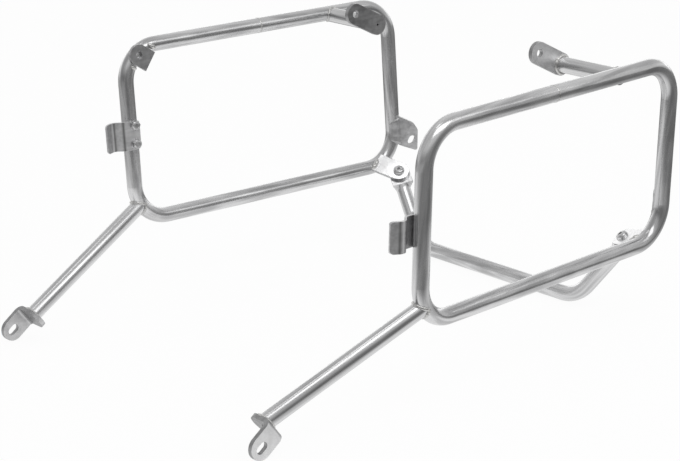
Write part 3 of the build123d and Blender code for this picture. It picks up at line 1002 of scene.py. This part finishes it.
@dataclass
class HoopAssembly:
    """A hoop with its seam and the welds of its tabs."""

    side: Side
    layout: HoopLayout
    seam_forward: float = 0.004
    seam_sink: float = 0.0010
    seam_steps: int = 64
    corner_tab_hole: Pair = (0.18, 0.095)
    corner_tab_welds: tuple[Triple, ...] = (
        (0.0170, -0.0185, 0.0125),
        (-0.0155, -0.0075, 0.0085),
    )
    corner_tab_pitch: float = math.radians(35.0)
    corner_tab_steps: int = 6
    probe_out: float = 0.02
    probe_in: float = 0.005
    rear_turn: float = math.radians(38.0)
    rear_offset: float = 0.0055
    rear_half_thickness: float = 0.002
    rear_low: float = 0.026
    rear_high: float = 0.0625
    rear_steps: int = 12
    pad_low: Pair = (0.0228, 0.0315)
    pad_high: Pair = (0.0602, 0.0530)
    pad_profile: tuple[Pair, ...] = (
        (0.0108, 0.0070),
        (0.0092, 0.0080),
        (0.0076, 0.0086),
        (0.0060, 0.0091),
        (0.0044, 0.0094),
        (0.0028, 0.0096),
        (0.0012, 0.0097),
        (-0.0004, 0.0096),
        (-0.0018, 0.0093),
        (-0.0030, 0.0087),
        (-0.0040, 0.0074),
    )
    pad_rows: int = 44
    pad_end_rows: int = 4
    pad_end_sink: float = 0.0014
    pad_ripple: float = 0.0001
    pad_ripple_turns: Pair = (5.0, 2.0)

    def lay(self, sheet: NodeSheet, place: Socket) -> Socket:
        """Return the socket of places along the unbent tube.

        Args:
            sheet: The material's sheet.
            place: The socket of plain places.

        Returns:
            The socket of places laid out straight.
        """
        layout = self.layout
        inputs = {
            "Position": place,
            "Middle": mirrored(layout.origin, self.side),
            "Forward": mirrored(layout.forward, self.side),
            "Up": mirrored(layout.up, self.side),
            "Inward": mirrored(layout.inward, self.side),
            "Straight Length": layout.length / 2 - layout.bend,
            "Straight Height": layout.height / 2 - layout.bend,
            "Bend": layout.bend,
        }
        return sheet.group(bpy.data.node_groups["Unbent Hoop"], inputs).outputs[0]

    def seam_middle(self) -> Vector:
        """Return the place on the top rail where the tube's two ends meet."""
        return self.layout.place(self.seam_forward, self.layout.height / 2)

    def seam_path(self) -> list[Vector]:
        """Return the ring where the tube's two ends are welded together."""
        middle = self.seam_middle()
        radius = self.layout.tube_radius - self.seam_sink
        return [middle + way * radius for way in circle(self.layout.up, self.layout.inward, self.seam_steps)]

    def corner_tab_paths(self) -> list[list[Vector]]:
        """Return the two lumpy welds along the corner tab's sides."""
        layout = self.layout
        cosine, sine = math.cos(self.corner_tab_pitch), math.sin(self.corner_tab_pitch)
        paths = []
        for offset, back, span in self.corner_tab_welds:
            lines = []
            for step in range(self.corner_tab_steps + 1):
                reach = back + span * step / self.corner_tab_steps
                ahead = self.corner_tab_hole[0] + cosine * reach - sine * offset
                above = self.corner_tab_hole[1] + sine * reach + cosine * offset
                lines.append((layout.place(ahead, above, self.probe_out), layout.place(ahead, above)))
            paths.append(layout.trace(lines))
        return paths

    def rear_directions(self) -> tuple[Vector, Vector]:
        """Return the directions along the rear tab and square to its face."""
        layout = self.layout
        out = layout.inward * math.sin(self.rear_turn) - layout.forward * math.cos(self.rear_turn)
        facing = layout.forward * math.sin(self.rear_turn) + layout.inward * math.cos(self.rear_turn)
        return out, facing

    def rear_tab_path(self) -> list[Vector]:
        """Return the weld along the back of the rear tab's root."""
        layout = self.layout
        out, facing = self.rear_directions()
        lines = []
        for step in range(self.rear_steps + 1):
            height = self.rear_low + (self.rear_high - self.rear_low) * step / self.rear_steps
            axis = layout.place(-layout.length / 2, height - layout.height / 2)
            start = axis + facing * (self.rear_offset - self.rear_half_thickness)
            lines.append((start + out * self.probe_out, start - out * self.probe_in))
        return layout.trace(lines)

    def rear_pad(self, forge: Forge, weld: bpy.types.Material) -> bpy.types.Object:
        """Make the broad weld that laps from the front of the rear tab's root onto the upright.

        Args:
            forge: Makes the piece.
            weld: The finish of the smoothed weld.

        Returns:
            The weld.
        """
        layout = self.layout
        out, facing = self.rear_directions()
        columns = len(self.pad_profile)
        farthest = self.pad_profile[0][0]
        ripples, slant = self.pad_ripple_turns
        points: list[Vector] = []
        for row in range(self.pad_rows + 1):
            share = row / self.pad_rows
            edge = min(share, 1 - share) * self.pad_rows / self.pad_end_rows
            taper = math.sqrt(max(0.0, min(1.0, edge)))
            for column, (reach, rise) in enumerate(self.pad_profile):
                across = column / (columns - 1)
                low = self.pad_low[0] + (self.pad_low[1] - self.pad_low[0]) * across
                high = self.pad_high[0] + (self.pad_high[1] - self.pad_high[0]) * across
                height = low + (high - low) * share
                wave = math.sin(ripples * math.pi * share + slant * across)
                swell = self.pad_ripple * math.sin(math.pi * across) * wave
                rise = rise - self.pad_end_sink * (1 - taper) + swell * taper
                bend = max(0.0, layout.bend - height)
                shift = layout.bend - math.sqrt(layout.bend**2 - bend**2)
                axis = layout.place(shift - layout.length / 2, height - layout.height / 2)
                follow = axis - layout.forward * shift * (max(0.0, reach) / farthest)
                points.append(mirrored(follow + out * reach + facing * rise, self.side))
        faces: Faces = []
        for row in range(self.pad_rows):
            for column in range(columns - 1):
                low, high = row * columns + column, (row + 1) * columns + column
                face = (low, low + 1, high + 1, high)
                faces.append(face if self.side is Side.LEFT else tuple(reversed(face)))
        return forge.piece(f"rear_tab_pad_{self.side.word}", points, faces, Slot.PLATE, weld)

    def build(self, forge: Forge, weld: bpy.types.Material) -> None:
        """Make the hoop's welds.

        Args:
            forge: Makes the pieces.
            weld: The weld metal.
        """
        word = self.side.word
        runs = [WeldRun(f"rail_seam_{word}", self.seam_path(), Bead.SEAM, closed=True, seed=11)]
        if self.side is Side.RIGHT:
            for number, path in enumerate(self.corner_tab_paths(), 1):
                runs.append(WeldRun(f"corner_tab_weld_{number}_{word}", path, Bead.LUMPY, seed=20 + number))
        runs.append(WeldRun(f"rear_tab_weld_{word}", self.rear_tab_path(), Bead.ROOT, seed=32))
        lay_welds(runs, self.side, forge, weld)
        self.rear_pad(forge, CUT_PLATE.paint(forge.effects, f"rear tab pad {word}"))

    def dress(self, forge: Forge) -> None:
        """Give the hoop and the tabs on it their finishes."""
        word = self.side.word
        seam = mirrored(self.seam_middle(), self.side)
        forge.finish(f"hoop_{word}", POLISHED_TUBE, lay=self.lay, welds=[seam])
        forge.finish(f"rear_tab_{word}", CUT_PLATE)
        if self.side is Side.RIGHT:
            forge.finish(f"corner_tab_{word}", CUT_PLATE)


@dataclass
class ArmAssembly:
    """The forward arm and the inward arm of one side, with the welds at both ends of each."""

    side: Side
    layout: HoopLayout
    forward_root_angle: float = math.radians(32.0)
    forward_end: Triple = (0.2758, 0.2111, 0.0298)
    tab_pitch: float = math.radians(36.0)
    # How much painted sheen the forward tab's back face gets.
    tab_back_share: float = 0.5
    inward_back: float = 0.1045
    inward_drop: float = 0.0018
    inward_end_side: float = 0.155
    ring_steps: int = 72
    probe_out: float = 0.06
    probe_in: float = 0.012

    def forward_root(self) -> Vector:
        """Return the place on the lower front bend that the forward arm springs from."""
        layout = self.layout
        return layout.place(
            layout.length / 2 - layout.bend * (1 - math.cos(self.forward_root_angle)),
            -layout.height / 2 + layout.bend * (1 - math.sin(self.forward_root_angle)),
        )

    def inward_root(self) -> Vector:
        """Return the place on the top rail that the inward arm springs from."""
        rail = self.layout.place(-self.inward_back, self.layout.height / 2)
        return rail - Vector((0, 0, self.inward_drop))

    def inward_end(self) -> Vector:
        """Return the inward arm's end, on its plate."""
        root = self.inward_root()
        return Vector((root.x, self.inward_end_side, root.z))

    @staticmethod
    def across(run: Vector) -> tuple[Vector, Vector]:
        """Return two directions square to a run and to each other."""
        first = run.cross(Vector((0, 0, 1))).normalized()
        return first, run.cross(first).normalized()

    def feet(self, middle: Vector, run: Vector) -> list[Vector]:
        """Return places round an arm's skin, on a circle square to its run."""
        ways = circle(*self.across(run), self.ring_steps)
        return [middle + way * self.layout.tube_radius for way in ways]

    def cope_path(self, root: Vector, end: Vector) -> list[Vector]:
        """Return the line where an arm meets the hoop's skin.

        Args:
            root: The arm's start, inside the hoop's tube.
            end: The arm's other end.

        Returns:
            A closed ring of places.
        """
        run = (end - root).normalized()
        out, back = run * self.probe_out, run * self.probe_in
        return self.layout.trace((foot + out, foot - back) for foot in self.feet(root, run))

    def ring_path(self, root: Vector, end: Vector, facing: Vector) -> list[Vector]:
        """Return the ring where an arm meets a flat face.

        Args:
            root: The arm's start.
            end: The middle of the ring.
            facing: The flat face's direction.

        Returns:
            A closed ring of places.
        """
        run = (end - root).normalized()
        slope = run.dot(facing)
        return [foot - run * ((foot - end).dot(facing) / slope) for foot in self.feet(end, run)]

    def build(self, forge: Forge, weld: bpy.types.Material) -> None:
        """Make the welds at both ends of each arm.

        Args:
            forge: Makes the pieces.
            weld: The weld metal.
        """
        root, end = self.forward_root(), Vector(self.forward_end)
        ear = Vector((math.cos(self.tab_pitch), 0, -math.sin(self.tab_pitch)))
        inner_root, inner_end = self.inward_root(), self.inward_end()
        inward = Vector((0, -1, 0))
        welds = (
            ("forward_arm_weld", self.cope_path(root, end), Bead.COPE, 41),
            ("forward_tab_weld", self.ring_path(root, end, ear), Bead.COPE, 42),
            ("inward_arm_weld", self.cope_path(inner_root, inner_end), Bead.ROOT, 43),
            ("inward_plate_weld", self.ring_path(inner_root, inner_end, inward), Bead.RING, 44),
        )
        word = self.side.word
        runs = [WeldRun(f"{name}_{word}", path, kind, True, seed) for name, path, kind, seed in welds]
        lay_welds(runs, self.side, forge, weld)

    def lay_along(self, root: Vector, end: Vector) -> Lay:
        """Return a maker of places laid along a straight arm.

        Args:
            root: The arm's start, on the left side.
            end: The arm's end.

        Returns:
            The maker, which takes a sheet and the socket of plain places.
        """
        run = (end - root).normalized()
        first, second = self.across(run)
        ways = {"Along": run, "Across": first, "Facing": second, "Origin": root}

        def lay(sheet: NodeSheet, place: Socket) -> Socket:
            """Return the socket of places along the arm."""
            inputs = {name: mirrored(way, self.side) for name, way in ways.items()}
            tree = bpy.data.node_groups["Straight Stock"]
            return sheet.group(tree, {"Position": place, **inputs}).outputs[0]

        return lay

    def dress(self, forge: Forge) -> None:
        """Give the arms and their end plates their finishes, with a painted sheen on the plates' faces."""
        word = self.side.word
        root, end = self.forward_root(), Vector(self.forward_end)
        inner_root, inner_end = self.inward_root(), self.inward_end()
        for piece, start, stop in (("forward_arm", root, end), ("inward_arm", inner_root, inner_end)):
            welds = [mirrored(start, self.side), mirrored(stop, self.side)]
            forge.finish(f"{piece}_{word}", POLISHED_TUBE, lay=self.lay_along(start, stop), welds=welds)
        outer = mirrored(Vector((0, 1, 0)), self.side)
        # A painted sheen on the plates' outer faces, and more weakly on the forward tab's back face.
        for piece, finish, weld, buffed in (
            ("forward_tab", BRIGHT_PLATE, end, [(outer, 1.0), (-outer, self.tab_back_share)]),
            ("inward_plate", DULL_PLATE, inner_end, [(outer, 1.0)]),
        ):
            welds = [mirrored(weld, self.side)]
            forge.finish(f"{piece}_{word}", finish, welds=welds, buffed_sides=buffed)


@dataclass
class CrossAssembly:
    """The cross tube with the tabs, screws and nuts that carry it."""

    layout: HoopLayout
    hole: Triple = (-0.26006, 0.19003, 0.092)
    facing: Triple = (0.46, -0.38, 0.80)
    reach: Triple = (-0.365, -0.879, -0.305)
    tab_thickness: float = 0.004
    tab_width: float = 0.026
    # How much painted sheen the tabs' cut tips get.
    tab_end_share: float = 0.8
    root_steps: int = 14
    root_probe: float = 0.036
    corner: Triple = (-0.246, 0.1328, 0.009)
    leg: Triple = (-0.2599, 0.1851, 0.077)
    bend: float = 0.045

    def root_paths(self) -> list[list[Vector]]:
        """Return the lumpy welds above and below the left tab's root."""
        normal = Vector(self.facing).normalized()
        along = Vector(self.reach)
        along = (along - normal * along.dot(normal)).normalized()
        across = normal.cross(along)
        paths = []
        for sign in (1, -1):
            lines = []
            for step in range(self.root_steps + 1):
                offset = self.tab_width * (step / self.root_steps - 0.5)
                start = Vector(self.hole) + across * offset + normal * (self.tab_thickness / 2 * sign)
                lines.append((start, start - along * self.root_probe))
            paths.append(self.layout.trace(lines))
        return paths

    def build(self, forge: Forge, weld: bpy.types.Material) -> None:
        """Make the welds at the roots of both tabs.

        Args:
            forge: Makes the pieces.
            weld: The weld metal.
        """
        for side in Side:
            for number, path in enumerate(self.root_paths(), 1):
                carried = [mirrored(point, side) for point in path]
                kind = Bead.LUMPY if number == 1 else Bead.TACK
                name, seed = f"cross_tab_weld_{number}_{side.word}", 50 + number * side.value
                WeldRun(name, carried, kind, seed=seed).build(forge, weld)

    def lay(self, sheet: NodeSheet, place: Socket) -> Socket:
        """Return the socket of places along the unbent cross tube.

        Args:
            sheet: The material's sheet.
            place: The socket of plain places.

        Returns:
            The socket of places laid out straight.
        """
        corner, leg = Vector(self.corner), Vector(self.leg)
        before = Vector((0, 1, 0))
        after = (leg - corner).normalized()
        turn = before.angle(after)
        inside = (after - before * after.dot(before)).normalized()
        start = corner - before * (self.bend * math.tan(turn / 2))
        inputs = {
            "Position": place,
            "Bend Centre": start + inside * self.bend,
            "Before": before,
            "After": after,
            "Outward": -inside,
            "Facing": before.cross(inside),
            "Bend": self.bend,
            "Turn": turn,
        }
        return sheet.group(bpy.data.node_groups["Unbent Leg"], inputs).outputs[0]

    def dress(self, forge: Forge) -> None:
        """Give the cross tube, its tabs and its fasteners their finishes, with a painted sheen on the tabs'
        upper faces and tips.
        """
        forge.finish("cross_tube", POLISHED_TUBE, lay=self.lay)
        for side in Side:
            upper, tip = (mirrored(Vector(way), side) for way in (self.facing, self.reach))
            # A painted sheen on each tab's upper face and on its cut tip.
            buffed = [(upper, 1.0), (tip, self.tab_end_share)]
            forge.finish(f"cross_tab_{side.word}", CUT_PLATE, buffed_sides=buffed)
        fastener = TURNED_FASTENER.paint(forge.effects, "cross fasteners")
        forge.cover("cross_screws", fastener)
        forge.cover("cross_nuts", fastener)


@dataclass
class ClipAssembly:
    """The latch clips with their bolts and washers."""

    layout: HoopLayout
    sheet: float = 0.0025
    washer: float = 0.0016
    head_flats: float = 0.010
    head_height: float = 0.004
    head_steps: int = 48
    head_turns: Pair = (0.35, 0.6)
    crown_levels: tuple[float, ...] = (0.62, 0.72, 0.82, 0.9, 1.0)
    crown_slope: float = 1.1
    crown_least: float = 0.42
    seat_shares: Pair = (0.47, 0.475)
    seat_rise: float = 0.0003
    dish_shares: Pair = (0.32, 0.30)
    dish_level: float = 0.93
    dish_middle: float = 0.0004
    bolt_radius: float = 0.003
    bolt_length: float = 0.004
    bolt_spacing: float = 0.022
    bolt_raise: float = 0.001
    left_up: float = -0.0032
    right_up: float = 0.0026
    # Painted shade and highlights along the clip's folds: how far ahead of the hoop's front, which side of
    # the sheet, and the grey, dark for shade and light for a highlight.
    folds: tuple[tuple[float, int, float], ...] = (
        (0.0146, 1, 0.12),
        (0.0230, 1, 0.12),
        (0.0262, 1, 0.95),
        (0.0246, -1, 0.98),
        (0.0285, -1, 0.2),
    )

    def bolt_places(self) -> list[Vector]:
        """Return the place under each bolt head, on its washer."""
        places = []
        for side, up in ((Side.LEFT, self.left_up), (Side.RIGHT, self.right_up)):
            for sign in (1, -1):
                height = up + self.bolt_raise + sign * self.bolt_spacing / 2
                depth = self.layout.tube_radius + self.sheet + self.washer
                places.append(mirrored(self.layout.place(self.layout.length / 2, height, depth), side))
        return places

    def head(self, place: Vector, inward: Vector, up: Vector, turn: float) -> tuple[list[Vector], Faces]:
        """Return the mesh of one hexagon head with a round chamfer on its crown and a short shank.

        Args:
            place: The middle of the head's seat.
            inward: The direction that the head stands out in.
            up: A direction square to it.
            turn: How far the hexagon is turned.

        Returns:
            The vertices and the faces.
        """
        other = inward.cross(up)
        flats, top = self.head_flats, self.head_height
        corner = flats / math.sqrt(3)
        crown = self.crown_levels[0] * top
        profile: list[tuple[float, float | None]] = [
            (-self.bolt_length, self.bolt_radius),
            (0.0, self.bolt_radius),
            (0.0, flats * self.seat_shares[0]),
            (self.seat_rise, flats * self.seat_shares[1]),
            (self.seat_rise, None),
            *((level * top, None) for level in self.crown_levels),
            (top, flats * self.dish_shares[0]),
            (self.dish_level * top, flats * self.dish_shares[1]),
            (self.dish_level * top, self.dish_middle),
        ]
        points: list[Vector] = []
        for height, radius in profile:
            cone = corner - max(0.0, height - crown) * self.crown_slope
            for step in range(self.head_steps):
                angle = 2 * math.pi * step / self.head_steps
                flat = flats / 2 / math.cos(angle % (math.pi / 3) - math.pi / 6)
                reach = min(flat, max(cone, flats * self.crown_least)) if radius is None else radius
                way = up * math.cos(angle + turn) + other * math.sin(angle + turn)
                points.append(place + inward * height + way * reach)
        return points, tube_faces(len(profile), self.head_steps)

    def build(self, forge: Forge) -> None:
        """Make the four bolts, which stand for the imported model's plain ones.

        Args:
            forge: Makes the piece.
        """
        points: list[Vector] = []
        faces: Faces = []
        first_turn, next_turn = self.head_turns
        for number, place in enumerate(self.bolt_places()):
            side = Side.LEFT if place.y > 0 else Side.RIGHT
            inward = mirrored(self.layout.inward, side)
            up = mirrored(self.layout.up, side)
            more, more_faces = self.head(place, inward, up, first_turn + next_turn * number)
            faces.extend(tuple(len(points) + index for index in face) for face in more_faces)
            points.extend(more)
        paint = TURNED_FASTENER.paint(forge.effects, "clip bolts")
        bolts = forge.piece("clip_bolt_heads", points, faces, Slot.FASTENER, paint, smooth=False)
        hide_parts("clip_bolts")

    def dress(self, forge: Forge) -> None:
        """Give the clips and washers their finishes, with painted shade and highlights along the clips'
        folds.
        """
        for side in Side:
            across, inward = mirrored(self.layout.forward, side), mirrored(self.layout.inward, side)
            folds = []
            for ahead, sign, grey in self.folds:
                spot = mirrored(self.layout.place(self.layout.length / 2 + ahead, 0.0), side)
                folds.append((spot, across, inward * sign, grey))
            forge.finish(f"latch_clip_{side.word}", FOLDED_SHEET, folds=folds)
        forge.finish("clip_washers", TURNED_FASTENER)


@dataclass(frozen=True)
class Lamp:
    """A soft rectangular lamp: where it hangs, its width and height, and its power in watts."""

    name: str
    place: Triple
    size: Pair
    power: float

    def hang(self, target: Vector, level: Vector) -> None:
        """Hang the lamp.

        Args:
            target: What it points at.
            level: The direction that its width runs in, as near as it can.
        """
        data = bpy.data.lights.new(self.name, "AREA")
        data.shape = "RECTANGLE"
        data.size, data.size_y = self.size
        data.energy = self.power
        thing = stand(self.name, data)
        place = Vector(self.place)
        back = (place - target).normalized()
        across = (level - back * level.dot(back)).normalized()
        thing.matrix_world = posed(place, across, back.cross(across), back)
        thing.visible_camera = False
        LOG.info("%s: %.2f W", self.name, self.power)


@dataclass
class Studio:
    """A white sweep under a pool of soft light, two softboxes and the camera."""

    camera_place: Triple = (1.3799, 1.6493, 0.8001)
    camera_right: Triple = (-0.761875, 0.647315, -0.023004)
    camera_down: Triple = (0.213286, 0.217181, -0.952545)
    camera_look: Triple = (-0.611601, -0.730627, -0.303528)
    lens: float = 106.67
    sensor: float = 36.0
    clip: Pair = (0.05, 60.0)
    front: Triple = (0.642, 0.767, 0.0)
    aside: Triple = (-0.767, 0.642, 0.0)
    floor_half: float = 14.0
    paper: float = 0.86
    shadow_share: float = 0.06
    pool_middle: Triple = (0.14, -0.08, 0.0)
    pool_inner: float = 0.40
    pool_outer: float = 0.80
    pool_light: float = 0.92
    pool_dim: float = 0.23
    pool_left: float = 0.40
    pool_left_edge: Pair = (-0.35, -0.15)
    pool_front: float = 1.35
    pool_back: float = -0.8
    pool_aside: float = 0.85
    room_front: float = 0.26
    room_back: float = 0.85
    room_turn: Pair = (-0.55, 0.55)
    room_ceiling: Pair = (0.74, 0.50)
    ceiling_turn: Pair = (-0.75, 0.2)
    ceiling_edge: Pair = (0.1, 0.55)
    room_rise: float = 0.16
    rise_turn: Pair = (0.3, 0.7)
    panel: float = 1.5
    panel_place: Triple = (0.09, -0.12, 0.989)
    panel_edge: Pair = (0.9925, 0.9955)
    backdrop: float = 0.75
    backdrop_turn: Pair = (-0.9, -0.5)
    backdrop_height: float = 0.06
    backdrop_edge: Pair = (0.06, 0.2)
    fill: float = 0.8
    lamps: tuple[Lamp, ...] = (
        Lamp("overhead softbox", (0.06, 1.28, 2.0), (2.1, 0.9), 10.0),
        Lamp("side softbox", (-1.15, 1.3, 1.3), (0.6, 0.7), 0.95),
    )
    lamp_target: Triple = (0.0, 0.0, 0.15)

    def camera(self) -> None:
        """Make the camera at the photograph's angle."""
        data = bpy.data.cameras.new("camera")
        data.lens = self.lens
        data.sensor_width = self.sensor
        data.sensor_fit = "HORIZONTAL"
        data.clip_start, data.clip_end = self.clip
        thing = stand("camera", data)
        right, down, look = (Vector(axis) for axis in (self.camera_right, self.camera_down, self.camera_look))
        thing.matrix_world = posed(Vector(self.camera_place), right, -down, -look)
        bpy.context.scene.camera = thing
        LOG.info("camera: %.0f mm", self.lens)

    @staticmethod
    def rays(sheet: NodeSheet) -> tuple[Socket, Socket]:
        """Return the sockets that tell mirrored rays, and rays seen straight or through glass."""
        kinds = sheet.add("ShaderNodeLightPath").outputs
        seen = sheet.sum("MAXIMUM", kinds["Is Camera Ray"], kinds["Is Transmission Ray"])
        return kinds["Is Glossy Ray"], seen

    def world(self) -> None:
        """Make the room: white where it is seen, lit from behind in the metal, and a soft fill elsewhere."""
        world = bpy.data.worlds.new("studio")
        world.use_nodes = True
        sheet = NodeSheet(world.node_tree)
        sheet.tree.nodes.clear()
        output = sheet.add("ShaderNodeOutputWorld")
        glossy, seen = self.rays(sheet)
        direction = sheet.add("ShaderNodeTexCoord").outputs["Generated"]
        towards = sheet.dot(direction, self.front)
        height = sheet.dot(direction, (0.0, 0.0, 1.0))
        walls = sheet.span(towards, *self.room_turn, self.room_back, self.room_front)
        ceiling = sheet.span(towards, *self.ceiling_turn, *self.room_ceiling)
        ceiling = sheet.sum("ADD", ceiling, sheet.span(towards, *self.rise_turn, 0.0, self.room_rise))
        room = sheet.fade(sheet.span(height, *self.ceiling_edge, 0.0, 1.0), walls, ceiling)
        panel = sheet.span(sheet.dot(direction, self.panel_place), *self.panel_edge, 0.0, self.panel)
        room = sheet.sum("ADD", room, panel)
        off_strip = sheet.sum("ABSOLUTE", sheet.sum("SUBTRACT", height, self.backdrop_height))
        strip = sheet.span(off_strip, *self.backdrop_edge, 1.0, 0.0)
        behind = sheet.span(towards, *self.backdrop_turn, self.backdrop, 0.0)
        room = sheet.sum("MULTIPLY_ADD", strip, behind, room)
        level = sheet.fade(seen, sheet.fade(glossy, self.fill, room), 1.0)
        light = sheet.add("ShaderNodeBackground")
        light.inputs["Color"].default_value = (1.0, 1.0, 1.0, 1.0)
        sheet.feed(light.inputs["Strength"], level)
        sheet.feed(output.inputs["Surface"], light.outputs[0])
        bpy.context.scene.world = world

    def sweep(self) -> bpy.types.Material:
        """Return the floor's white paper, which keeps a faint shadow and is mirrored as a pool of light."""
        material, sheet, surface = open_material("White sweep")
        paper = sheet.add("ShaderNodeBsdfDiffuse")
        paper.inputs["Color"].default_value = (self.paper, self.paper, self.paper, 1.0)
        glossy, seen = self.rays(sheet)
        place = sheet.add("ShaderNodeTexCoord").outputs["Object"]
        offset = sheet.offset(place, self.pool_middle)
        ahead = sheet.dot(offset, self.front)
        before, behind = (sheet.sum("MULTIPLY", ahead, share) for share in (self.pool_front, self.pool_back))
        sideways = sheet.sum("MULTIPLY", sheet.dot(offset, self.aside), self.pool_aside)
        distance = sheet.sum("SQRT", sheet.squares(sheet.sum("MAXIMUM", before, behind), sideways))
        rim = sheet.span(sideways, *self.pool_left_edge, self.pool_left, self.pool_dim)
        reach = sheet.span(distance, self.pool_inner, self.pool_outer, 1.0, 0.0)
        pool = sheet.fade(reach, rim, self.pool_light)
        glow = sheet.add("ShaderNodeEmission")
        sheet.feed(glow.inputs["Strength"], sheet.fade(glossy, 1.0, pool))
        share = sheet.sum("MAXIMUM", sheet.sum("MULTIPLY", seen, 1.0 - self.shadow_share), glossy)
        mix = sheet.add("ShaderNodeMixShader")
        for target, source in zip(mix.inputs, (share, paper.outputs[0], glow.outputs[0])):
            sheet.feed(target, source)
        sheet.feed(surface, mix.outputs[0])
        return material

    def floor(self) -> None:
        """Make the white floor."""
        half = self.floor_half
        corners = [(x * half, y * half, 0.0) for x, y in ((-1, -1), (1, -1), (1, 1), (-1, 1))]
        mesh = bpy.data.meshes.new("floor")
        mesh.from_pydata(corners, [], [(0, 1, 2, 3)])
        mesh.materials.append(self.sweep())
        stand("floor", mesh)

    def build(self) -> None:
        """Set up the room, the lights and the camera."""
        self.world()
        self.floor()
        for lamp in self.lamps:
            lamp.hang(Vector(self.lamp_target), Vector(self.aside))
        self.camera()


def main() -> None:
    """Build each sub-assembly in order, dress it and set up the studio."""
    logging.basicConfig(level=logging.INFO, format="%(name)s: %(message)s")
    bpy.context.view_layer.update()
    bpy.context.scene.view_settings.view_transform = "Standard"
    layout = HoopLayout()
    forge = Forge(SteelEffects())
    weld = WELD_METAL.paint(forge.effects, "beads")
    for side in Side:
        hoop = HoopAssembly(side, layout)
        hoop.build(forge, weld)
        hoop.dress(forge)
        arms = ArmAssembly(side, layout)
        arms.build(forge, weld)
        arms.dress(forge)
    cross = CrossAssembly(layout)
    cross.build(forge, weld)
    cross.dress(forge)
    clips = ClipAssembly(layout)
    clips.build(forge)
    clips.dress(forge)
    Studio().build()
    LOG.info("made %d pieces", len(forge.made))


if __name__ == "__main__":
    main()
